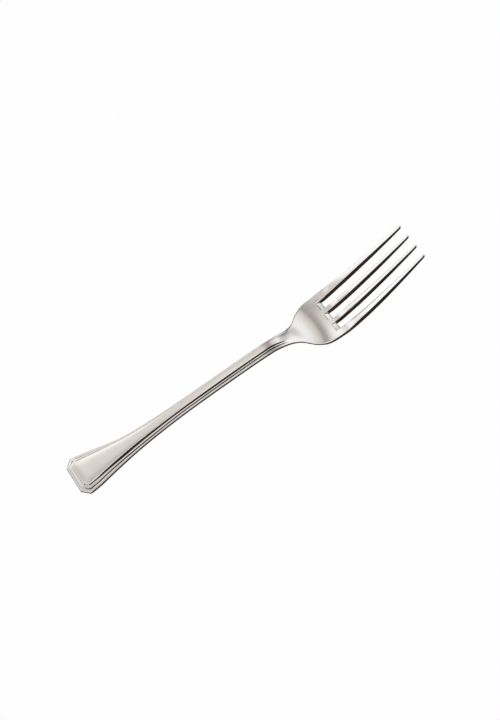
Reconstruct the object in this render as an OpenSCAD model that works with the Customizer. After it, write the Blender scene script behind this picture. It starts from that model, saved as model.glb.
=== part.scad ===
// Dinner fork, pressed and forged from one blank of stainless steel.
// +X runs from the handle end to the tine points, +Y across, +Z up off the table.
// The blank is built as its eight named regions. Each is a solid of its own, and
// neighbours meet face to face on flat planes across the fork.

/* [Handle] */
// Length of the handle, from its end to the stem
handle_len = 60; // [52:1:68]
// Greatest width of the handle, at its clipped corners
handle_w = 22.4; // [19:0.2:25]
// Width of the straight end edge, between the clipped corners
end_w = 14.8; // [12:0.2:16]
// Length of each clipped corner along the handle
clip_len = 5.4; // [4.5:0.1:7]
// Height of the side wall all round the handle
rim_h = 1.4; // [1.1:0.1:1.8]
// Width of each step of the border at the handle end
tread_w = 1.5; // [1.3:0.05:1.7]
// Height of the border's outer riser round the handle
riser_h = 0.85; // [0.6:0.05:1]
// Height of its inner riser, which lifts the panel, where that is tallest
panel_riser_h = 1.35; // [1:0.05:1.5]
// Run of a riser for its height, as each leans inwards
riser_lean = 0.4; // [0.3:0.05:0.5]
// Rise of the panel from its edges to its middle, at its widest
crown_h = 0.3; // [0.2:0.05:0.5]
// Bevel between the side wall and the underside
under_bevel = 0.35; // [0.25:0.05:0.5]
// Distance from the end to the flat underside that rests on the table
seat_from = 13; // [11:0.5:15]
// Length of that flat underside
seat_len = 12; // [9:0.5:15]
// Lift of the end edge above the resting part
end_lift = 0.55; // [0.3:0.05:0.8]

/* [Stem] */
// Length of the stem, from the handle to the neck
stem_len = 55; // [48:1:62]
// Width of the stem at its narrowest
stem_w = 7.05; // [6.2:0.05:8]
// Width of the border's outer step along the stem
stem_outer_w = 1; // [0.85:0.05:1.1]
// Width of the border's inner step along the stem
stem_inner_w = 0.6; // [0.5:0.05:0.7]
// Height of the risers where they are lowest, along the stem
stem_riser_h = 0.6; // [0.4:0.05:0.7]
// Depth of the rounded underside below the side wall
stem_belly = 0.9; // [0.6:0.05:1.2]
// Height of the side wall's middle line at the top of the arch
arch_h = 8.6; // [7:0.1:11]

/* [Neck] */
// Length of the neck, from the stem to the palm
neck_len = 16; // [14:0.5:18]
// Width of the neck where it meets the palm
neck_w = 9.5; // [8.6:0.1:10.4]

/* [Palm] */
// Length of the palm, from the neck to the roots of the tines
palm_len = 26.5; // [24:0.5:29]
// Greatest width of the head
head_w = 28; // [25:0.2:30]
// Thickness of the palm at its edge
palm_t = 2.2; // [1.8:0.1:2.6]
// Depth of the dish across the palm
dish_h = 1.25; // [0.8:0.05:1.6]
// Distance from the neck to the lowest part of the palm
belly_at = 17; // [15:0.5:19]

/* [Tines] */
// Length of a tine beyond the palm
tine_len = 49.5; // [44:0.5:55]
// Height of the tine points above the table, at the middle of their thickness
tip_h = 21.7; // [17:0.1:24]
// Width of a slot where the tines begin, at the underside
slot_w = 3.8; // [3.6:0.05:4]
// Depth of a slot's end behind the roots of the tines, at the underside
slot_end = 2.8; // [2.4:0.1:3.2]
// Length of the ramp that runs on from there up to the upper face
slot_ramp = 3; // [2.5:0.1:4]
// Distance between the slots at their ends
slot_pitch = 7.45; // [7.3:0.05:7.6]
// Distance between the tine points
tip_pitch = 7.1; // [6.8:0.05:7.4]
// Lean of a tine's side walls, from the underside in to the upper face
tine_lean = 0.6; // [0.4:0.05:0.65]
// Width of a tine at its point
tip_w = 1.45; // [1.25:0.05:1.6]
// Thickness of a tine at its point
tip_t = 1.3; // [1.1:0.05:1.5]

/* [Hidden] */

// Places along the fork, from the handle end
seat_to = seat_from + seat_len;
stem_x = handle_len;
neck_x = stem_x + stem_len;
palm_x = neck_x + neck_len;
belly_x = palm_x + belly_at;
tine_x = palm_x + palm_len;
tip_x = tine_x + tine_len;
mid_x = tip_x / 2;

// Share of the handle's flare left at each share of the way to the thin stem
flare_shares = [[0, 1], [0.07, 0.9], [0.12, 0.79], [0.2, 0.62], [0.34, 0.36], [0.48, 0.2],
    [0.62, 0.11], [0.8, 0.04], [1, 0]];
// Where the stem is at its thinnest from, as a share of the stem
thin_share = 0.36;
// Share of the neck's widening, from the stem to the palm
neck_shares = [[0, 0], [0.31, 0.05], [0.62, 0.33], [0.8, 0.53], [0.9, 0.7], [1, 1]];
// Share of the head's width gained along the palm
spread_shares = [[0, 0], [0.08, 0.07], [0.155, 0.21], [0.23, 0.4], [0.31, 0.61], [0.39, 0.74],
    [0.46, 0.86], [0.54, 0.935], [0.65, 0.97], [0.8, 0.985], [1, 1]];
// Share of the drawing in of the head's outer edges, along the tines
draw_in_shares = [[0, 0], [0.12, 0.025], [0.25, 0.105], [0.45, 0.305], [0.66, 0.57], [1, 1]];

// Side view: rise from the seat to the arch, fall to the palm, climb to the points
rise_shares = [[0, 0], [0.08, 0.03], [0.22, 0.18], [0.39, 0.41], [0.61, 0.67], [0.83, 0.89], [1, 1]];
fall_shares = [[0, 0], [0.15, 0.035], [0.3, 0.14], [0.42, 0.32], [0.545, 0.57], [0.67, 0.8],
    [0.79, 0.93], [0.91, 0.98], [1, 1]];
climb_shares = [[0, 0], [0.085, 0.016], [0.15, 0.048], [0.22, 0.098], [0.29, 0.156], [0.37, 0.229],
    [0.54, 0.416], [0.71, 0.616], [0.86, 0.813], [1, 1]];

// Share of the inner riser's full height gained along the handle
swell_shares = [[0, 0], [0.17, 0.03], [0.33, 0.38], [0.5, 1], [0.62, 0.88], [0.75, 0.5], [1, 0.1]];
// Share of the border left along the neck
fade_shares = [[0, 1], [0.4, 1], [0.75, 0.15], [1, 0]];
// Share of the dish along the palm: below zero where the neck is still crowned
dish_shares = [[0, -0.3], [0.25, 0.1], [0.5, 0.75], [0.65, 1], [1, 1]];
// Dish left across the tine points, and bulge under the palm, as shares of the dish
dish_end_share = 0.12;
palm_belly_share = 0.9;

// Shares left of what the width of a tine loses along it, and of what the thickness
// loses from the lowest part of the palm to the points. It swells before it thins.
taper_shares = [[0, 1], [0.08, 0.94], [0.24, 0.8], [0.4, 0.65], [0.56, 0.48], [0.72, 0.31],
    [0.88, 0.16], [1, 0]];
thin_shares = [[0, 1], [0.05, 1.02], [0.1, 1.2], [0.16, 1.53], [0.23, 1.83], [0.36, 2.06],
    [0.5, 2.06], [0.63, 1.83], [0.765, 1.39], [0.9, 0.78], [1, 0]];
// Share of its side walls' lean left at a tine's point
tip_lean_share = 0.6;
// Columns across a tine, and the rounding of its underside in its thickness
tine_shares = [-1, -0.7, 0.7, 1];
tine_round_share = 0.15;
// Part of a tine over which its rounding begins
tine_ease_share = 0.15;

// Half widths round the square end of a slot, and distances there from its end
slot_y_shares = [0.3, 0.85, 0.97, 1];
slot_x_shares = [0, 0.03, 0.2, 1];

// Columns across the underside and over the crown, as shares of the half width
under_shares = [0.8, 0.6, 0.4, 0.22, 0.07];
crown_shares = [0.7, 0.25];

function mix(a, b, u) = a + (b - a) * u;
function along(x, from, to) = min(max((x - from) / (to - from), 0), 1);
function spaced(from, to, n) = [for (i = [1 : n]) mix(from, to, i / n)];

// A smooth curve through points [place, value], read at place s
function slope_at(p, i) =
    let (a = max(i - 1, 0), b = min(i + 1, len(p) - 1))
    (p[b][1] - p[a][1]) / (p[b][0] - p[a][0]);
function cell_of(p, s, i = 0) = i >= len(p) - 2 || s < p[i + 1][0] ? i : cell_of(p, s, i + 1);
function curve(p, s) =
    let (
        i = cell_of(p, s),
        w = p[i + 1][0] - p[i][0],
        u = along(s, p[i][0], p[i + 1][0])
    )
    (2 * u ^ 3 - 3 * u ^ 2 + 1) * p[i][1] + (u ^ 3 - 2 * u ^ 2 + u) * w * slope_at(p, i)
        + (3 * u ^ 2 - 2 * u ^ 3) * p[i + 1][1] + (u ^ 3 - u ^ 2) * w * slope_at(p, i + 1);

// Half width of the blank at x, past the clipped corners
thin_x = stem_x + stem_len * thin_share;
function flare(x) = curve(flare_shares, along(x, clip_len, thin_x));
function half_w(x) =
    x < thin_x ? mix(stem_w, handle_w, flare(x)) / 2
    : x < palm_x ? mix(stem_w, neck_w, curve(neck_shares, along(x, neck_x, palm_x))) / 2
    : x < tine_x ? mix(neck_w, head_w, curve(spread_shares, along(x, palm_x, tine_x))) / 2
    : mix(head_w / 2, 1.5 * tip_pitch + tip_w / 2, curve(draw_in_shares, along(x, tine_x, tip_x)));

// Height at x of the middle line of the side wall
seat_h = under_bevel + rim_h / 2;
belly_h = palm_t / 2 + dish_h * palm_belly_share;
function side_h(x) =
    x < seat_from ? seat_h + end_lift * (1 - x / seat_from) ^ 2
    : x < seat_to ? seat_h
    : x < neck_x ? mix(seat_h, arch_h, curve(rise_shares, along(x, seat_to, neck_x)))
    : x < belly_x ? mix(arch_h, belly_h, curve(fall_shares, along(x, neck_x, belly_x)))
    : mix(belly_h, tip_h, curve(climb_shares, along(x, belly_x, tip_x)));

// Height of the side wall at x, the dish there, and the bulge of the underside
function wall_h(x) =
    x < belly_x ? mix(rim_h, palm_t, along(x, palm_x, belly_x))
    : mix(tip_t, palm_t, curve(thin_shares, along(x, belly_x, tip_x)));
function dish(x) = dish_h * (
    x < palm_x ? dish_shares[0][1]
    : x < tine_x ? curve(dish_shares, along(x, palm_x, tine_x))
    : mix(1, dish_end_share, along(x, tine_x, tip_x))
);
function bulge(x) =
    x < neck_x ? mix(under_bevel, stem_belly, along(x, seat_to, stem_x))
    : mix(stem_belly, palm_belly_share * dish(x), along(x, neck_x, belly_x));

// Faces of the blank at x. s is the place across it, from 0 in the middle to 1
// at the edge. The underside is flat on the handle and grows round on the stem.
function rim_z(x) = side_h(x) + wall_h(x) / 2;
function top_z(x, s) = rim_z(x) - dish(x) * (1 - s ^ 2);
function low_z(x, s) =
    side_h(x) - wall_h(x) / 2 - bulge(x) * (1 - s ^ 2 * along(x, seat_to, stem_x));

// A solid from rings of 2n points: the underside from -Y to +Y, then the upper
// face back. stepped closes the first end across the fork, level by level, so
// that the border runs round it. Any other end is a plain wall.
module blank(rings, stepped = false) {
    m = len(rings[0]);
    n = m / 2;
    last = (len(rings) - 1) * m;
    sides = [for (j = [0 : len(rings) - 2]) for (i = [0 : m - 1])
        let (a = j * m + i, b = j * m + (i + 1) % m)
        each (i % n < n / 2 ? [[a, b + m, b], [a, a + m, b + m]] : [[a, a + m, b], [b, a + m, b + m]])];
    steps = [for (i = [0 : n / 2 - 2]) each [
        [i, n - 2 - i, n - 1 - i],
        [i, i + 1, n - 2 - i],
        [n + i, m - 2 - i, m - 1 - i],
        [n + i, n + i + 1, m - 2 - i]
    ]];
    walls = [for (i = [0 : n - 2]) each [[i, m - 2 - i, m - 1 - i], [i, i + 1, m - 2 - i]]];
    polyhedron(
        points = [for (r = rings) each r],
        faces = concat(
            sides,
            stepped ? concat(steps, [[0, n, m - 1], [0, n - 1, n]]) : walls,
            [for (f = walls) [for (k = [2 : -1 : 0]) last + f[k]]]
        )
    );
}

// Both halves of a ring from its +Y half, each row from the edge to the middle
function flipped(row) = [for (p = row) [p[0], -p[1], p[2]]];
function reversed(row) = [for (i = [len(row) - 1 : -1 : 0]) row[i]];
function ring(low, top) = concat(flipped(low), reversed(low), top, reversed(flipped(top)));

// Handle, stem and neck: the bordered part of the blank

function outer_w(x) = mix(stem_outer_w, tread_w, flare(x));
function inner_w(x) = mix(stem_inner_w, tread_w, flare(x));
function outer_h(x) = mix(riser_h, stem_riser_h, along(x, seat_to, thin_x));
function inner_h(x) = mix(stem_riser_h, panel_riser_h, curve(swell_shares, along(x, 0, stem_x)));
function border(x) = curve(fade_shares, along(x, neck_x, palm_x));

// at is a point of the half outline and m the inward direction there, so that
// the bevel and the border's steps run parallel to the outline, round its end too
function bordered_ring(at, m) =
    let (
        f = border(at[0]),
        h1 = outer_h(at[0]),
        h2 = h1 + inner_h(at[0]),
        d1 = outer_w(at[0]),
        d2 = d1 + riser_lean * h1,
        d3 = d2 + inner_w(at[0]),
        d4 = d3 + riser_lean * (h2 - h1),
        b = at + m * under_bevel,
        in = at + m * d4,
        // Further columns lie inside a point q, at the share s of its distance
        within = function(q, s) [q[0] + m[0] * (1 - s) * d2, q[1] * s],
        low = concat([b], [for (s = under_shares) within(b, s)]),
        levels = [[0, 0], [d1, 0], [d2, h1], [d3, h1], [d4, h2]],
        edge = [for (l = levels)
            let (p = at + m * l[0])
            [p[0], p[1], mix(top_z(p[0], p[1] / at[1]), rim_z(p[0]) + l[1], f)]],
        crown = [for (s = crown_shares)
            let (p = within(in, s))
            [p[0], p[1], mix(top_z(p[0], p[1] / at[1]),
                rim_z(p[0]) + h2 + crown_h * 2 * at[1] / handle_w * (1 - s ^ 2), f)]]
    )
    ring(
        concat([[at[0], at[1], side_h(at[0]) - wall_h(at[0]) / 2]],
            [for (p = low) [p[0], p[1], low_z(p[0], p[1] / at[1])]]),
        concat(edge, crown)
    );

// Half outline of the handle: the ends of the clipped corner, then the side
handle_side = concat(
    spaced(clip_len, seat_from, 3),
    spaced(seat_from, seat_to, 4),
    spaced(seat_to, stem_x, 10)
);
handle_outline = concat(
    [[0, end_w / 2], [clip_len, handle_w / 2]],
    [for (x = handle_side) [x, half_w(x)]]
);
function inward(a, b) = [b[1] - a[1], a[0] - b[0]] / norm(b - a);
function miter(p, i) =
    let (
        n1 = i == 0 ? [1, 0] : inward(p[i - 1], p[i]),
        n2 = i == len(p) - 1 ? n1 : inward(p[i], p[i + 1])
    )
    i == len(p) - 1 ? [0, -1] : (n1 + n2) / (1 + n1 * n2);

module handle() {
    color("silver")
        blank([for (i = [0 : len(handle_outline) - 1])
            bordered_ring(handle_outline[i], miter(handle_outline, i))], true);
}

module straight_part(from, to, n) {
    color("silver")
        blank([for (x = concat([from], spaced(from, to, n))) bordered_ring([x, half_w(x)], [0, -1])]);
}

module stem() {
    straight_part(stem_x, neck_x, 14);
}

module neck() {
    straight_part(neck_x, palm_x, 12);
}

// Palm: its front edge runs in and out round the ends of the three slots

slot_half = slot_w / 2;
half_head = half_w(tine_x);
outer_root = slot_pitch + slot_half;

// Columns across the half palm, each as its distance from the middle at the
// front edge and the set-back of that edge. The slots are wider by lean on the
// upper face, and their ends lie further back there by ramp.
function slot_side(centre, way, lean, ramp) = [for (i = way > 0 ? [0 : 3] : [3 : -1 : 0])
    [centre + way * (slot_half + lean) * slot_y_shares[i], (slot_end + ramp) * (1 - slot_x_shares[i])]];
function palm_front(lean, ramp) = concat(
    slot_side(0, 1, lean, ramp),
    [[slot_pitch / 2, 0]],
    slot_side(slot_pitch, -1, lean, ramp),
    slot_side(slot_pitch, 1, lean, ramp),
    [[mix(outer_root, half_head, 0.5), 0], [half_head, 0]]
);
function palm_row(v, front) = [for (c = reversed(front))
    let (x = mix(palm_x, tine_x - c[1], v), s = c[0] / half_head)
    [x, s]];
function palm_ring(v) = ring(
    [for (p = palm_row(v, palm_front(0, 0))) [p[0], p[1] * half_w(p[0]), low_z(p[0], p[1])]],
    [for (p = palm_row(v, palm_front(tine_lean, slot_ramp)))
        [p[0], p[1] * half_w(p[0]), top_z(p[0], p[1])]]
);

module palm() {
    color("silver") blank([for (v = concat([0], spaced(0, 1, 16))) palm_ring(v)]);
}

// Tines, numbered from the +Y side. Each is worked out on the +Y side.

inner_edges = [slot_half, slot_pitch - slot_half];
outer_edges = [outer_root, half_head];

function tine_ring(u, edges, tip_y, is_outer) =
    let (
        x = mix(tine_x, tip_x, u),
        ease = min(u / tine_ease_share, 1),
        half = mix(tip_w, edges[1] - edges[0], curve(taper_shares, u)) / 2,
        y = is_outer ? half_w(x) - half : mix((edges[0] + edges[1]) / 2, tip_y, u),
        lean = tine_lean * mix(1, tip_lean_share, u),
        out = half - (is_outer ? lean * ease : lean),
        low_y = [for (s = tine_shares) y + half * s],
        top_y = [for (s = tine_shares) y + mix(lean - half, out, (s + 1) / 2)],
        w = half_w(x)
    )
    concat(
        [for (i = [0 : 3]) [x, low_y[i], low_z(x, low_y[i] / w)
            + (i % 3 == 0 ? ease * tine_round_share * wall_h(x) : 0)]],
        [for (i = [3 : -1 : 0]) [x, top_y[i], top_z(x, top_y[i] / w)]]
    );

module tine(edges, tip_y, is_outer) {
    color("silver")
        blank([for (u = concat([0], spaced(0, 1, 20))) tine_ring(u, edges, tip_y, is_outer)]);
}
module outer_tine() {
    tine(outer_edges, 1.5 * tip_pitch, true);
}
module inner_tine() {
    tine(inner_edges, tip_pitch / 2, false);
}

module tine_1() {
    outer_tine();
}

module tine_2() {
    inner_tine();
}

module tine_3() {
    mirror([0, 1, 0]) inner_tine();
}

module tine_4() {
    mirror([0, 1, 0]) outer_tine();
}

// The frame's origin is on the table under the middle of the fork
module placed() {
    translate([-mid_x, 0, 0]) children();
}

placed() handle();
placed() stem();
placed() neck();
placed() palm();
placed() tine_1();
placed() tine_2();
placed() tine_3();
placed() tine_4();
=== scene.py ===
"""Dinner fork, pressed and forged from one blank of stainless steel, on a plain pale floor.

+X runs from the handle end to the tine points, +Y across the fork, +Z up. Places along
the fork are in millimetres from the handle end until a form is pressed.
"""

import math

import bmesh
import bpy
import numpy as np
from mathutils import Matrix, Vector


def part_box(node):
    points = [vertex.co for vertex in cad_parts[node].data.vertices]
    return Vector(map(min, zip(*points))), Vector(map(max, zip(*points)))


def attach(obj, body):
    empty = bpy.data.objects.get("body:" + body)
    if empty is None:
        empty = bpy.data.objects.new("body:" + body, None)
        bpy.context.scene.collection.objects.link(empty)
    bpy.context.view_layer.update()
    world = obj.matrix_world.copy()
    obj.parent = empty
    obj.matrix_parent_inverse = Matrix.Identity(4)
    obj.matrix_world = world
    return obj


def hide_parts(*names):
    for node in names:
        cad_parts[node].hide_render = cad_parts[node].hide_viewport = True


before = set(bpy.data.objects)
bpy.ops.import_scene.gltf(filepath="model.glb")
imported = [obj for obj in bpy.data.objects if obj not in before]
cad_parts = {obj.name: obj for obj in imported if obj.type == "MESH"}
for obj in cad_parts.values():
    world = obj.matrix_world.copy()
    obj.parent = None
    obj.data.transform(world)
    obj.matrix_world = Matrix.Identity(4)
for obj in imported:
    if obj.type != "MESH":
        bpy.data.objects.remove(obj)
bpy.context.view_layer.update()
bpy.ops.object.select_all(action="DESELECT")


# Handle, stem and neck.
# The bordered part of the blank: a stepped border is coined round the panel of the
# handle, narrows along the stem and fades out on the neck. Polished stainless steel.

MM = 0.001
handle_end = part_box("handle")[0].x


def along(corner):
    """A corner's place along the fork, in millimetres from the handle end."""
    return round((corner.x - handle_end) / MM, 3)


stem_x, neck_x, palm_x, tine_x = (along(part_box(node)[0]) for node in ("stem", "neck", "palm", "tine_1"))
tip_x = along(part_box("tine_1")[1])
belly_x = 148.0

# The flat blank. Each block is made longer than its piece by over, and cut to length
handle_half, end_half, clip_len = 11.2, 7.4, 5.4
rim, under_bevel = 1.4, 0.35
tread, riser, riser_run = 1.5, 0.55, 0.3
border = 2 * (tread + riser_run)
rim_round, edge_round = 0.6, 0.07
over = 8.0
tread_rows, handle_row = 4, 0.9

# How far from a place or a fold a corner still counts as on it, how square to Z a flat
# face is, and the angle in radians from which an edge is a fold
near, hair = 0.01, 0.001
facing, fold = 0.9, 1.0

# What pressing adds: the risers' lean, the treads' swell and tilt, the panel's crown
riser_slope = 0.4
reed, reed_lean = 0.055, 0.07
crown_ease = 4.0


def place(x, y=0.0, z=0.0):
    """A point of the flat blank as a place in the frame, in metres."""
    return Vector((handle_end + x * MM, y * MM, z * MM))


def choose(kind, test):
    """Selects just those faces, edges or corners of the edited piece that pass the test."""
    bpy.ops.mesh.select_mode(type={"faces": "FACE", "edges": "EDGE", "verts": "VERT"}[kind])
    bpy.ops.mesh.select_all(action="DESELECT")
    mesh = bmesh.from_edit_mesh(bpy.context.object.data)
    for part in getattr(mesh, kind):
        if test(part):
            part.select_set(True)
    bmesh.update_edit_mesh(bpy.context.object.data)


def slab(name, from_x, to_x, half, low, high):
    """A flat block of the blank, from its primitive, left in edit mode."""
    bpy.ops.mesh.primitive_cube_add(
        size=1, location=place((from_x + to_x) / 2, 0, (low + high) / 2),
        scale=((to_x - from_x) * MM, 2 * half * MM, (high - low) * MM))
    piece = bpy.context.object
    piece.name = piece.data.name = name
    bpy.ops.object.transform_apply(location=True, rotation=True, scale=True)
    bpy.ops.object.mode_set(mode="EDIT")
    return piece


def cut(x, y=0.0, away=(1, 0, 0), drop=False):
    """A straight cut through all of the piece. drop removes what lies beyond it."""
    bpy.ops.mesh.select_all(action="SELECT")
    bpy.ops.mesh.bisect(plane_co=place(x, y), plane_no=away, clear_outer=drop, use_fill=drop)


def both_sides(cuts):
    """The same cuts on both sides of the middle, and one along it."""
    return (*(-at for at in reversed(cuts)), 0, *cuts)


def round_edges(width, segments=3, least=25):
    """Polishes the sharp edges of the piece round."""
    bpy.ops.mesh.select_mode(type="EDGE")
    bpy.ops.mesh.select_all(action="DESELECT")
    bpy.ops.mesh.edges_select_sharp(sharpness=math.radians(least))
    bpy.ops.mesh.bevel(offset=width * MM, segments=segments, affect="EDGES")


def copy_of(flat, name):
    """A copy of a flat piece, with its own mesh, left active in object mode."""
    bpy.ops.object.mode_set(mode="OBJECT")
    bpy.ops.object.select_all(action="DESELECT")
    flat.select_set(True)
    bpy.context.view_layer.objects.active = flat
    bpy.ops.object.duplicate()
    piece = bpy.context.object
    piece.name = piece.data.name = name
    return piece


def die_line(points, soft=4.0, pitch=0.25):
    """A smooth line along the fork, past both its ends, through points (place, value)."""
    x, v = np.array(points, float).T
    slope = np.gradient(v, x)
    slope[1:-1] = (v[2:] - v[:-2]) / (x[2:] - x[:-2])
    grid = np.arange(-20, 230, pitch)
    i = np.clip(np.searchsorted(x, grid, side="right") - 1, 0, len(x) - 2)
    w = x[i + 1] - x[i]
    u = np.clip((grid - x[i]) / w, 0, 1)
    line = ((2 * u ** 3 - 3 * u ** 2 + 1) * v[i] + (u ** 3 - 2 * u ** 2 + u) * w * slope[i]
            + (3 * u ** 2 - 2 * u ** 3) * v[i + 1] + (u ** 3 - u ** 2) * w * slope[i + 1])
    line += np.minimum(grid - x[0], 0) * slope[0] + np.maximum(grid - x[-1], 0) * slope[-1]

    # a sliding average rounds the line off over the soft length
    reach = int(soft / pitch)
    window = np.hanning(2 * reach + 3)[1:-1]
    padded = np.pad(line, reach, mode="reflect", reflect_type="odd")
    line = np.convolve(padded, window / window.sum(), "valid")
    return lambda at: np.interp(at, grid, line)


def share(x, start, end):
    """How far x has come on the way from start to end, from 0 to 1."""
    return np.clip((x - start) / (end - start), 0, 1)


# Plan and side view of the whole blank: half its width, the height of its middle, its
# thickness, and the depth of the dish
half_width = die_line([
    (5.4, 11.2), (10.6, 10.43), (14.3, 9.59), (20.3, 8.28), (30.7, 6.29), (41.1, 5.06),
    (51.5, 4.4), (64.9, 3.94), (79.8, 3.76), (97, 3.74), (115, 3.7), (120, 3.65),
    (124.9, 3.93), (127.8, 4.17), (129.4, 4.38), (131, 4.75), (133.1, 5.4), (135.1, 6.69),
    (137.1, 8.45), (139.2, 10.39), (141.3, 11.6), (143.2, 12.7), (145.3, 13.4),
    (148.2, 13.72), (152.2, 13.86), (157.5, 14), (163.4, 13.94), (169.9, 13.72),
    (179.8, 13.2), (190.2, 12.5), (207, 11.37)], soft=1.5)
side_line = die_line([
    (0, 1.6), (3.25, 1.36), (6.5, 1.19), (9.75, 1.08), (13, 1.05), (19, 1.05), (25, 1.05),
    (32.2, 1.28), (44.8, 2.41), (60.1, 4.15), (79.9, 6.11), (99.7, 7.77), (115, 8.6),
    (120, 8.38), (124.9, 7.71), (128.9, 6.56), (133, 4.97), (137.1, 3.5), (141.1, 2.67),
    (145, 2.35), (148, 2.23), (153, 2.53), (156.9, 3.16), (161, 4.14), (165.1, 5.27),
    (169.8, 6.68), (179.9, 10.32), (189.9, 14.22), (198.7, 18.05), (207, 21.7)])
wall_line = die_line([
    (100, 1.4), (115, 1.4), (129, 1.2), (136, 1.15), (141, 1.3), (145, 1.7), (148, 2.05),
    (151, 2.22), (154, 2.38), (157.5, 2.68), (161.5, 2.95), (169.4, 3.15), (177.3, 3.15),
    (185.2, 2.95), (193.1, 2.55), (201.1, 2), (207, 1.3)], soft=2.0)
dish_line = die_line([
    (100, -0.375), (131, -0.375), (137.6, 0.125), (144.3, 0.94), (148.2, 1.25),
    (157.5, 1.25), (182, 0.7), (207, 0.15)])

# Border: width of its treads, height of its two steps, the panel's crown as a share of
# its half width, and how much of all this is left where it fades out on the neck
outer_tread = die_line([
    (0, 1.5), (15, 1.5), (20, 1.38), (29, 1.02), (43, 0.74), (64, 0.92), (80, 0.92),
    (95, 0.96), (115, 1.1)])
inner_tread = die_line([
    (0, 1.5), (10, 1.3), (15, 1), (20, 0.8), (29, 0.6), (43, 0.68), (64, 0.54), (80, 0.44),
    (95, 0.44), (115, 0.46)])
border_step = die_line([
    (0, 0.85), (15, 0.85), (30, 0.95), (40, 0.9), (60, 0.8), (80, 0.8), (95, 0.85),
    (110, 0.85), (121, 0.85), (131, 0.5)])
panel_step = die_line([
    (0, 0.7), (8, 0.85), (15, 1.3), (20, 1.5), (25, 1.6), (30, 1.65), (37, 1.55), (45, 1.35),
    (60, 1.15), (80, 1.2), (95, 1.2), (110, 1.05), (121, 1.05), (131, 0.5)])
crown_line = die_line([(0, 0.06), (42, 0.06), (60, 0.02), (80, -0.03), (131, -0.03)])
fade_line = die_line([
    (110, 1), (120, 1), (123, 0.9), (125, 0.68), (127, 0.38), (129, 0.12), (131, 0),
    (140, 0)], soft=2.0)

# Underside: how far it swells, how round it is from side to side, and the share of the
# dish that it follows
sag_line = die_line([(10, 0.35), (25, 0.35), (60, 0.9), (115, 0.9), (148, 0), (160, 0)])
round_line = die_line([(10, 0), (25, 0), (60, 1), (80, 1)])
dish_share = 0.9


def bulge(x):
    """How far the middle of the underside reaches below its edges."""
    return sag_line(x) + dish_share * dish_line(x) * share(x, neck_x, belly_x)


def upper(x, s):
    """Height of the plain upper face, s being the share of the half width."""
    return side_line(x) + wall_line(x) / 2 - dish_line(x) * (1 - s ** 2)


def lower(x, s):
    """Height of the underside, s being the share of the half width."""
    return side_line(x) - wall_line(x) / 2 - bulge(x) * (1 - s ** 2 * round_line(x))


def press(piece, form):
    """Presses the flat piece in its die. form takes and gives x, y and z in millimetres."""
    if bpy.context.mode != "OBJECT":
        bpy.ops.object.mode_set(mode="OBJECT")
    co = np.empty(3 * len(piece.data.vertices))
    piece.data.vertices.foreach_get("co", co)
    x, y, z = co.reshape(-1, 3).T / MM
    x, y, z = form(x - handle_end / MM, y, z)
    co = np.stack([x + handle_end / MM, y, z], axis=1) * MM
    piece.data.vertices.foreach_set("co", co.ravel())
    piece.data.update()


def bordered_form(x, y, z):
    """Presses the stepped border, the panel, the wall and the underside."""
    # across: the border takes its own width, and the panel has the rest
    half = half_width(np.maximum(x, clip_len))
    inward = handle_half - np.abs(y)
    first_run, second_run = riser_slope * border_step(x), riser_slope * panel_step(x)
    narrow = (share(inward, 0, tread) * (tread - outer_tread(x))
              + share(inward, tread, tread + riser_run) * (riser_run - first_run)
              + share(inward, tread + riser_run, border - riser_run) * (tread - inner_tread(x))
              + share(inward, border - riser_run, border) * (riser_run - second_run))
    panel = half - outer_tread(x) - inner_tread(x) - first_run - second_run
    at_border = np.abs(y) - handle_half + half + narrow
    at_panel = np.abs(y) * panel / (handle_half - border)
    across = np.where(inward < border, at_border, at_panel)
    s = across / half

    # upwards: two steps, then the crowned panel
    level = (np.minimum(z, riser) * border_step(x) / riser
             + np.maximum(z - riser, 0) * panel_step(x) / riser)
    on_panel = z > 2 * riser - near
    p = np.clip(across / panel, 0, 1)
    eased = np.sin(share(x, border, border + crown_ease) * math.pi / 2)
    rise = np.where(on_panel, crown_line(x) * panel * (1 - p ** 3) * eased, 0)

    # each tread swells and tilts a little, also round the clipped corners and the end
    clip = np.hypot(clip_len, handle_half - end_half)
    from_clip = (x * (handle_half - end_half) - (np.abs(y) - end_half) * clip_len) / clip
    inside = np.minimum(np.minimum(inward, x), from_clip)
    on_outer = inside < tread + riser_run / 2
    tread_at = np.where(on_outer, inside, inside - tread - riser_run)
    on_tread = ~on_panel & (np.abs(tread_at - tread / 2) <= tread / 2 + hair)
    width = np.where(on_outer, outer_tread(x), inner_tread(x))
    u = tread_at / tread
    crest = np.where(on_tread, width * (reed_lean * u + reed * (1 - (2 * u - 1) ** 2)), 0)

    # the stepped face gives way to the plain one, over the wall and the swelling underside
    stepped = side_line(x) + wall_line(x) / 2 + level + rise + crest
    top = fade_line(x) * stepped + (1 - fade_line(x)) * upper(x, s)
    wall = side_line(x) + wall_line(x) / 2 + z * wall_line(x) / rim
    deep = share(-z, rim, rim + under_bevel)
    under = side_line(x) - wall_line(x) / 2 - deep * bulge(x) * (1 - s ** 2 * round_line(x))
    return x, np.sign(y) * across, np.where(z >= 0, top, np.where(z > -rim, wall, under))


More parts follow.
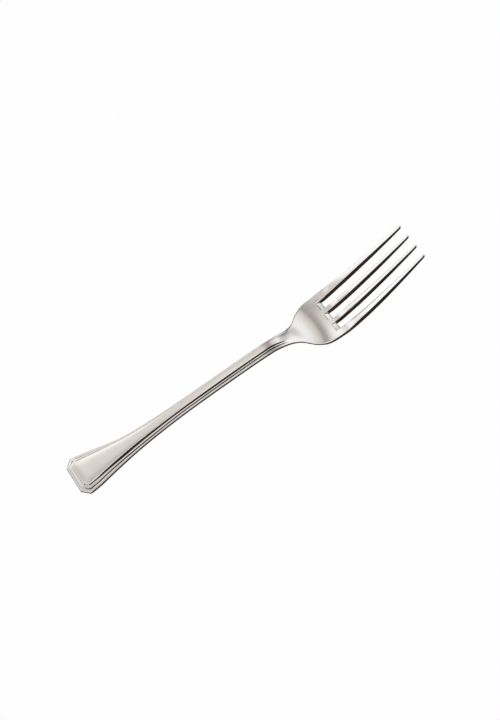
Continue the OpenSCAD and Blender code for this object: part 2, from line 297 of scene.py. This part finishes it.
def finish_piece(piece, node, steel, weld=0.002, smooth=70, weight=60):
    """Smooth polish over the faces, then the piece takes the place of its region."""
    bpy.ops.object.select_all(action="DESELECT")
    piece.select_set(True)
    bpy.context.view_layer.objects.active = piece
    bpy.ops.object.mode_set(mode="EDIT")
    bpy.ops.mesh.select_all(action="SELECT")
    bpy.ops.mesh.remove_doubles(threshold=weld * MM)
    bpy.ops.mesh.normals_make_consistent(inside=False)
    bpy.ops.object.mode_set(mode="OBJECT")
    bpy.ops.object.shade_smooth_by_angle(angle=math.radians(smooth))
    bpy.ops.object.modifier_add(type="WEIGHTED_NORMAL")
    piece.modifiers[-1].keep_sharp = True
    piece.modifiers[-1].weight = weight
    bpy.ops.object.modifier_apply(modifier=piece.modifiers[-1].name)
    piece.data.materials.clear()
    piece.data.materials.append(steel)
    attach(piece, "root")
    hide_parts(node)
    piece.select_set(False)


def shader_node(tree, kind, **values):
    """A new node. Names that are settings are set, and all others are its sockets."""
    node = tree.nodes.new(kind)
    for name, value in values.items():
        if name in ("operation", "data_type", "blend_type"):
            setattr(node, name, value)
        else:
            node.inputs[name.replace("_", " ")].default_value = value
    return node


def feed(tree, value, socket):
    """Links another node's output to the socket, or sets the socket to a plain value."""
    if isinstance(value, bpy.types.NodeSocket):
        tree.links.new(value, socket)
    else:
        socket.default_value = value


def mask(tree, value, low, high, to_low=0.0, to_high=1.0):
    """A value spread from low to high over to_low to to_high."""
    node = shader_node(tree, "ShaderNodeMapRange",
                       From_Min=low, From_Max=high, To_Min=to_low, To_Max=to_high)
    tree.links.new(value, node.inputs["Value"])
    return node.outputs["Result"]


def combine(tree, kind, a, b):
    """Arithmetic of one kind on two values, each a node's output or a plain number."""
    node = shader_node(tree, "ShaderNodeMath", operation=kind)
    feed(tree, a, node.inputs[0])
    feed(tree, b, node.inputs[1])
    return node.outputs["Value"]


def mixed(tree, factor, a, b, kind="MIX"):
    """Colour a turned into colour b, or multiplied by it, as far as the factor says."""
    node = shader_node(tree, "ShaderNodeMix", data_type="RGBA", blend_type=kind)
    for name, value in (("Factor", factor), ("A", a), ("B", b)):
        feed(tree, value, node.inputs[name])
    return node.outputs["Result"]


# Polished steel: buffed along its length, so its grain and finest scratches run that
# way, with a few hairline marks across, a cloudy polish and paler, worn edges.
# Hairlines: the way each set runs, in degrees, and how many fit a metre each way
hairlines = ((5, (110, 8000, 3000)), (-24, (190, 9000, 3000)), (63, (240, 10000, 3000)))
grain_turn, grain_scale = 2, (300, 9000, 9000)
cloud_scale = 55
bump_depth, bump_strength, grain_relief = 0.000004, 0.2, 0.25

# Noise from which a hairline shows, edges from which it is worn, and the spread of noise
mark_from, worn_from, noise_spread = (0.72, 0.78), (0.54, 0.64), (0.3, 0.7)

# Roughness of the polish, clear to cloudy, and what grain, hairlines and wear add to it
cloud_rough, grain_rough = (0.09, 0.15), (0.0, 0.03)
mark_rough, worn_rough = 0.12, 0.06

steel_low, steel_high = (0.80, 0.79, 0.77, 1), (0.83, 0.82, 0.80, 1)
steel_worn, worn_pale = (0.88, 0.87, 0.86, 1), 0.5


def stretched_noise(tree, where, turn, scale, detail):
    """Noise drawn out into fine lines that run at a turn about Z."""
    node = tree.nodes.new("ShaderNodeMapping")
    node.vector_type = "TEXTURE"
    node.inputs["Rotation"].default_value = (0, 0, math.radians(turn))
    node.inputs["Scale"].default_value = [1 / way for way in scale]
    noise = shader_node(tree, "ShaderNodeTexNoise", Scale=1, Detail=detail)
    tree.links.new(where, node.inputs["Vector"])
    tree.links.new(node.outputs["Vector"], noise.inputs["Vector"])
    return noise.outputs["Fac"]


def steel_surface_group():
    """Shade, roughness and fine relief of the polish, on the object's own coordinates."""
    group = bpy.data.node_groups.new("steel_surface", "ShaderNodeTree")
    group.interface.new_socket("Shade", in_out="OUTPUT", socket_type="NodeSocketColor")
    group.interface.new_socket("Roughness", in_out="OUTPUT", socket_type="NodeSocketFloat")
    group.interface.new_socket("Normal", in_out="OUTPUT", socket_type="NodeSocketVector")
    out = group.nodes.new("NodeGroupOutput")
    where = group.nodes.new("ShaderNodeTexCoord").outputs["Object"]

    noise = shader_node(group, "ShaderNodeTexNoise", Scale=cloud_scale, Detail=4, Roughness=0.55)
    group.links.new(where, noise.inputs["Vector"])
    cloud = noise.outputs["Fac"]
    grain = stretched_noise(group, where, grain_turn, grain_scale, 3)
    scratches = 0.0
    for turn, scale in hairlines:
        marks = mask(group, stretched_noise(group, where, turn, scale, 0), *mark_from)
        scratches = combine(group, "MAXIMUM", scratches, marks)
    worn = mask(group, group.nodes.new("ShaderNodeNewGeometry").outputs["Pointiness"], *worn_from)

    rough = mask(group, cloud, *noise_spread, *cloud_rough)
    rough = combine(group, "ADD", rough, mask(group, grain, *noise_spread, *grain_rough))
    rough = combine(group, "ADD", rough, combine(group, "MULTIPLY", scratches, mark_rough))
    rough = combine(group, "ADD", rough, combine(group, "MULTIPLY", worn, worn_rough))
    group.links.new(rough, out.inputs["Roughness"])

    tint = mixed(group, cloud, steel_low, steel_high)
    pale = mixed(group, combine(group, "MULTIPLY", worn, worn_pale), tint, steel_worn)
    group.links.new(pale, out.inputs["Shade"])

    relief = combine(group, "MULTIPLY", grain, grain_relief)
    height = combine(group, "SUBTRACT", relief, scratches)
    bump = shader_node(group, "ShaderNodeBump", Strength=bump_strength, Distance=bump_depth)
    group.links.new(height, bump.inputs["Height"])
    group.links.new(bump.outputs["Normal"], out.inputs["Normal"])
    return group


steel = bpy.data.materials.new("polished_steel")
steel.use_nodes = True
shader = steel.node_tree.nodes["Principled BSDF"]
shader.inputs["Metallic"].default_value = 1
surface = steel.node_tree.nodes.new("ShaderNodeGroup")
surface.node_tree = steel_surface_group()
for effect, socket in (("Shade", "Base Color"), ("Roughness", "Roughness"), ("Normal", "Normal")):
    steel.node_tree.links.new(surface.outputs[effect], shader.inputs[socket])

# Flat blank: block, clipped corners, bevelled underside, two steps of border
blank = slab("blank", 0, palm_x + over, handle_half, -rim, 0)
for side in (1, -1):
    cut(0, side * end_half, away=(end_half - handle_half, side * clip_len, 0), drop=True)
choose("faces", lambda f: f.normal.z < -facing)
bpy.ops.mesh.inset(thickness=under_bevel * MM, depth=under_bevel * MM)
choose("faces", lambda f: f.normal.z > facing)
for step in range(2):
    for row in range(tread_rows):
        bpy.ops.mesh.inset(thickness=tread / tread_rows * MM)
    bpy.ops.mesh.inset(thickness=riser_run * MM, depth=riser * MM)


def on_rim(e):
    """The edge between the outer tread and the wall, all round the blank."""
    flat = all(abs(v.co.z) < hair * MM for v in e.verts)
    beside_wall = any(abs(f.normal.z) < 1 - facing for f in e.link_faces)
    return flat and beside_wall and e.calc_face_angle(0) > fold


choose("edges", on_rim)
bpy.ops.mesh.bevel(offset=rim_round * MM, segments=6, affect="EDGES")
round_edges(edge_round)

# Rows of faces for the die to bend, closer together near the edges
for y in both_sides((1.2, 2.4, 3.6, 4.8, 6, 7.2, 8.4, 9.6, 10.5)):
    cut(0, y, away=(0, 1, 0))
for row in range(1, int(palm_x / handle_row) + 1):
    cut(handle_row * row)
cut(palm_x, drop=True)

for node, from_x, to_x in (("handle", 0, stem_x), ("stem", stem_x, neck_x), ("neck", neck_x, palm_x)):
    piece = copy_of(blank, node + "_steel")
    bpy.ops.object.mode_set(mode="EDIT")
    if from_x > 0:
        cut(from_x, away=(-1, 0, 0), drop=True)
    if to_x < palm_x:
        cut(to_x, drop=True)
    press(piece, bordered_form)
    finish_piece(piece, node, steel)
bpy.data.objects.remove(blank)


# Palm.
# The broad, dished part of the blank. Three slots are punched in from the front, each
# with a square end and a short ramp ground down from the upper face.

head_half, palm_t = 14.0, 2.2
slot_half, slot_pitch, slot_end, slot_ramp, lean = 1.9, 7.45, 2.8, 3.0, 0.6
rim_polish, edge_zone = 0.7, 1.0
palm_row = 0.7
slot_top_x = tine_x - slot_end - slot_ramp
wide = slot_half + lean
centres = (-slot_pitch, 0, slot_pitch)


def palm_form(x, y, z):
    """Presses the palm to its plan, dish and wall."""
    # the polished rim sharpens towards the tines
    dull = 1 - (1 - edge_round / rim_polish) * share(x, belly_x, tine_x)
    off, down = head_half - np.abs(y), palm_t / 2 - z
    at_rim = (off < rim_polish + hair) & (down < rim_polish + hair)
    y = np.where(at_rim, np.sign(y) * (head_half - off * dull), y)
    z = np.where(at_rim, palm_t / 2 - down * dull, z)

    # a zone along the edge keeps its width, and the middle narrows with the blank
    half = half_width(x)
    inner = head_half - edge_zone
    across = np.where(np.abs(y) > inner, half - head_half + np.abs(y),
                      np.abs(y) * (half - edge_zone) / inner)
    s = across / half
    low, top = lower(x, s), upper(x, s)
    return x, np.sign(y) * across, low + (top - low) * (z / palm_t + 0.5)


def spot(v):
    """A corner's place on the fork, in millimetres."""
    return (v.co.x - handle_end) / MM, v.co.y / MM, v.co.z / MM


def in_slot(v, centre):
    """Whether a corner lies in the strip that the punch takes out."""
    x, y, z = spot(v)
    return x > slot_top_x - near and abs(y - centre) < wide + near


def on_palm_rim(e):
    """The upper edge along either side of the palm."""
    at_side = all(spot(v)[2] > 0 and abs(abs(spot(v)[1]) - head_half) < near for v in e.verts)
    return at_side and e.calc_face_angle(0) > fold


palm = slab("palm_steel", palm_x - over, tine_x + over, head_half, -palm_t / 2, palm_t / 2)
for centre in centres:
    for side in (-1, 1):
        cut(0, centre + side * wide, away=(0, 1, 0))
cut(slot_top_x)
choose("faces", lambda f: any(all(in_slot(v, centre) for v in f.verts) for centre in centres))
bpy.ops.mesh.delete(type="FACE")
for centre in centres:
    choose("edges", lambda e: e.is_boundary and all(in_slot(v, centre) for v in e.verts)
           and abs(spot(e.verts[0])[2] - spot(e.verts[1])[2]) < near)
    bpy.ops.mesh.bridge_edge_loops()
    # the punch leans its walls and leaves a ramp behind the slot's end
    choose("verts", lambda v: spot(v)[2] < 0 and in_slot(v, centre))
    bpy.ops.transform.resize(value=(1, slot_half / wide, 1), center_override=place(0, centre))
    choose("verts", lambda v: spot(v)[2] < 0 and in_slot(v, centre) and spot(v)[0] < slot_top_x + near)
    bpy.ops.transform.translate(value=(slot_ramp * MM, 0, 0))
choose("edges", on_palm_rim)
bpy.ops.mesh.bevel(offset=rim_polish * MM, segments=5, affect="EDGES")
round_edges(edge_round)
columns = int((head_half - near) / palm_row)
for column in range(-columns, columns + 1):
    cut(0, palm_row * column, away=(0, 1, 0))
for row in range(1, int((tine_x - palm_x) / palm_row) + 1):
    cut(palm_x + palm_row * row)
cut(palm_x, away=(-1, 0, 0), drop=True)
cut(tine_x, drop=True)
press(palm, palm_form)
finish_piece(palm, "palm", steel)


# Tines, numbered from the +Y side.
# Four prongs of the same blank, narrowed and thinned to blunt points, each with its
# underside rounded. One outer and one inner tine are made, and each is mirrored.

tip_half, tip_pitch = 0.72, 7.1
point_len, point_share = 0.7, 0.85
tine_bow, bow_ease = 0.16, 4.0
round_from, round_to, round_share, root_ease = 0.7, 1.001, 0.15, 8.0
tine_row = 0.8

# How wide a tine still is, from 1 at its root to 0 at its point, and the lean of a wall
taper = die_line([
    (157.5, 1), (161.5, 0.94), (169.4, 0.8), (177.3, 0.65), (185.2, 0.48), (193.1, 0.31),
    (201.1, 0.16), (207, 0)], soft=1.5)
lean_line = die_line([(150, 0.6), (157.5, 0.6), (169, 0.58), (185, 0.5), (197, 0.42), (207, 0.35)])
inner_tine = (slot_half, slot_pitch - slot_half)
outer_tine = (slot_pitch + slot_half, head_half)


def tine_form(edges, side):
    """The die of one tine, from the places of its two edges at the root and its side."""
    root_half = (edges[1] - edges[0]) / 2
    is_outer = edges == outer_tine

    def form(x, y, z):
        # the tine narrows to its point, which is rounded off at the very end
        end = np.sqrt(1 - point_share * share(x, tip_x - point_len, tip_x) ** 2)
        half = end * (tip_half + (root_half - tip_half) * taper(x))
        u = share(x, tine_x, tip_x)
        middle = half_width(x) - half / end if is_outer else (
            (edges[0] + edges[1]) / 2 * (1 - u) + tip_pitch / 2 * u)

        # its walls lean in towards the upper face, as the punch left them
        ease = share(x, tine_x, tine_x + root_ease)
        in_lean = lean_line(x) * end
        out_lean = in_lean * (ease if is_outer else 1)
        c, h = y / root_half, z / palm_t + 0.5
        at_low = c * half
        at_top = (in_lean - half) + (2 * half - in_lean - out_lean) * (c + 1) / 2
        across = middle + at_low + (at_top - at_low) * h

        # the upper face bows a little, and the underside is rounded
        s = across / half_width(x)
        bow = tine_bow * share(x, tine_x, tine_x + bow_ease) * half / root_half * (1 - c ** 2)
        low, top = lower(x, s), upper(x, s) + bow
        gap = (1 - end) * (top - low) / 2
        lift = 1 - np.sqrt(1 - share(np.abs(c), round_from, round_to) ** 2)
        low = low + gap + ease * round_share * (top - low) * lift
        return x, side * across, low + (top - gap - low) * h

    return form


for edges, tines in ((outer_tine, ((1, 1), (4, -1))), (inner_tine, ((2, 1), (3, -1)))):
    half = (edges[1] - edges[0]) / 2
    flat = slab("tine", tine_x - over, tip_x, half, -palm_t / 2, palm_t / 2)
    round_edges(edge_round)
    for c in both_sides((0.2, 0.4, 0.6, 0.7, 0.8, 0.88, 0.94)):
        cut(0, c * half, away=(0, 1, 0))
    for row in range(1, int((tip_x - tine_x) / tine_row) + 1):
        cut(tine_x + tine_row * row)
    for before_tip in (0.5, 0.3, 0.2, 0.1):
        cut(tip_x - before_tip)
    cut(tine_x, away=(-1, 0, 0), drop=True)
    for number, side in tines:
        tine = copy_of(flat, "tine_%d_steel" % number)
        press(tine, tine_form(edges, side))
        finish_piece(tine, "tine_%d" % number, steel)
    bpy.data.objects.remove(flat)


# Floor, light and camera.
# A plain pale table that the steel doesn't mirror, soft studio light all round from
# above, and the camera high on the handle's side.

pale_tone = (0.99, 0.99, 0.99, 1)
bpy.ops.mesh.primitive_plane_add(size=6)
floor = bpy.context.object
floor.name = "floor"
pale = bpy.data.materials.new("pale_floor")
pale.use_nodes = True
pale.node_tree.nodes.clear()
glow = shader_node(pale.node_tree, "ShaderNodeEmission", Color=pale_tone)
out = pale.node_tree.nodes.new("ShaderNodeOutputMaterial")
pale.node_tree.links.new(glow.outputs["Emission"], out.inputs["Surface"])
floor.data.materials.append(pale)
floor.visible_glossy = False

world = bpy.data.worlds.new("studio")
bpy.context.scene.world = world
world.use_nodes = True
studio = world.node_tree
toward = studio.nodes.new("ShaderNodeSeparateXYZ")
studio.links.new(studio.nodes.new("ShaderNodeTexCoord").outputs["Generated"], toward.inputs["Vector"])
steel_mirrors = 0.8


def sky_band(way, stops):
    """Tones of the sky, each at its place along one way from -1 to 1."""
    ramp = studio.nodes.new("ShaderNodeValToRGB")
    steps = ramp.color_ramp.elements
    for at, tone in stops[2:]:
        steps.new((at + 1) / 2)
    for step, (at, tone) in zip(steps, sorted(stops)):
        step.position = (at + 1) / 2
        step.color = (*(tone if isinstance(tone, tuple) else (tone,) * 3), 1)
    studio.links.new(mask(studio, way, -1, 1), ramp.inputs["Fac"])
    return ramp.outputs["Color"]


def grey(tone, red=0.03, blue=-0.035):
    """Light that the steel mirrors as this tone of 0 to 255, a little warm or cool."""
    v = ((tone / 255 + 0.055) / 1.055) ** 2.4 / steel_mirrors
    return (v * (1 + red), v, v * (1 + blue))


# Along the fork: white for the tines to mirror, then greys, a darker patch, and a bright
# end for the neck. On the tines' side the tones run on the slant, which starts from the
# height along Y that a level face mirrors to the camera
slant, level_y = 0.32, 0.474
on_tines = mask(studio, toward.outputs["X"], -0.1, -0.2)
aslant = combine(studio, "MULTIPLY", combine(studio, "SUBTRACT", level_y, toward.outputs["Y"]), slant)
slanted = combine(studio, "ADD", toward.outputs["X"], combine(studio, "MULTIPLY", aslant, on_tines))
along_fork = sky_band(slanted, [
    (-0.46, grey(252, 0, 0.02)), (-0.37, grey(250, 0, 0.02)), (-0.33, grey(236, 0.01)),
    (-0.295, grey(196, 0.06)), (-0.25, grey(184, 0.08)), (-0.16, grey(194, 0.07)),
    (-0.1, grey(205, 0.05)), (0.0, grey(208)), (0.1, grey(195, 0.06)), (0.16, grey(170, 0.09)),
    (0.22, grey(157, 0.11)), (0.27, grey(148, 0.11)), (0.31, grey(154, 0.1)), (0.335, grey(184, 0.08)),
    (0.42, grey(206, 0.06)), (0.48, grey(214, 0.04)), (0.53, grey(224)), (0.58, grey(231, 0, 0.02)),
    (0.65, grey(238, 0, 0.02)), (0.72, grey(243, 0, 0.02)), (0.9, grey(243, 0, 0.02))])

# Across the fork: brighter and darker strips over the handle, brighter from the near side
over_handle = sky_band(toward.outputs["X"], [(-0.24, 0.0), (-0.15, 1.0), (0.1, 1.0), (0.2, 0.0)])
across_fork = sky_band(toward.outputs["Y"], [
    (0.02, 1.4), (0.1, 1.2), (0.17, 0.75), (0.25, 0.7), (0.38, 0.97), (0.474, 1.05), (0.58, 1.2),
    (0.66, 1.5)])
near_light = sky_band(toward.outputs["Y"], [(-0.6, 1.3), (-0.1, 1.3), (0.05, 1.0)])
toned = mixed(studio, over_handle, along_fork, across_fork, "MULTIPLY")
lit = mixed(studio, 1, toned, near_light, "MULTIPLY")

# The room is dark low down all round and to the far side, and dimmer to the near side
dark_room, horizon_tilt = (0.02, 0.015, 0.012, 1), -0.083
tilted = combine(studio, "ADD", toward.outputs["Z"],
                 combine(studio, "MULTIPLY", toward.outputs["Y"], horizon_tilt))
horizon = sky_band(tilted, [(0.28, 0.015), (0.5, 1.0)])
sides = sky_band(toward.outputs["Y"], [(-0.66, 0.4), (-0.5, 1.0), (0.79, 1.0), (0.84, 0.02)])
room = mixed(studio, combine(studio, "MULTIPLY", horizon, sides), dark_room, lit)

# Seen past the floor's edge, the backdrop is as pale as the floor
is_seen = studio.nodes.new("ShaderNodeLightPath").outputs["Is Camera Ray"]
studio.links.new(mixed(studio, is_seen, room, pale_tone), studio.nodes["Background"].inputs["Color"])

# The camera looks at a point near the fork's middle, moved by half a pixel as seen there
azimuth, elevation, roll = math.radians(-13.115), math.radians(60.841), math.radians(-21.178)
target, distance = Vector((0.00358, 0.00129, 0.005)), 0.85907
half_pixel = 0.00025
back = Vector((math.sin(azimuth) * math.cos(elevation), -math.cos(azimuth) * math.cos(elevation),
               math.sin(elevation)))
level = Vector((math.cos(azimuth), math.sin(azimuth), 0))
upright = back.cross(level)
right = level * math.cos(roll) + upright * math.sin(roll)
up = upright * math.cos(roll) - level * math.sin(roll)
stand = target + back * distance + (up - right) * half_pixel
camera = bpy.data.objects.new("camera", bpy.data.cameras.new("camera"))
camera.data.lens = 85.05
camera.data.sensor_width = 36
bpy.context.scene.collection.objects.link(camera)
camera.matrix_world = Matrix.Translation(stand) @ Matrix((right, up, back)).transposed().to_4x4()
bpy.context.scene.camera = camera
bpy.context.scene.view_settings.view_transform = "Standard"
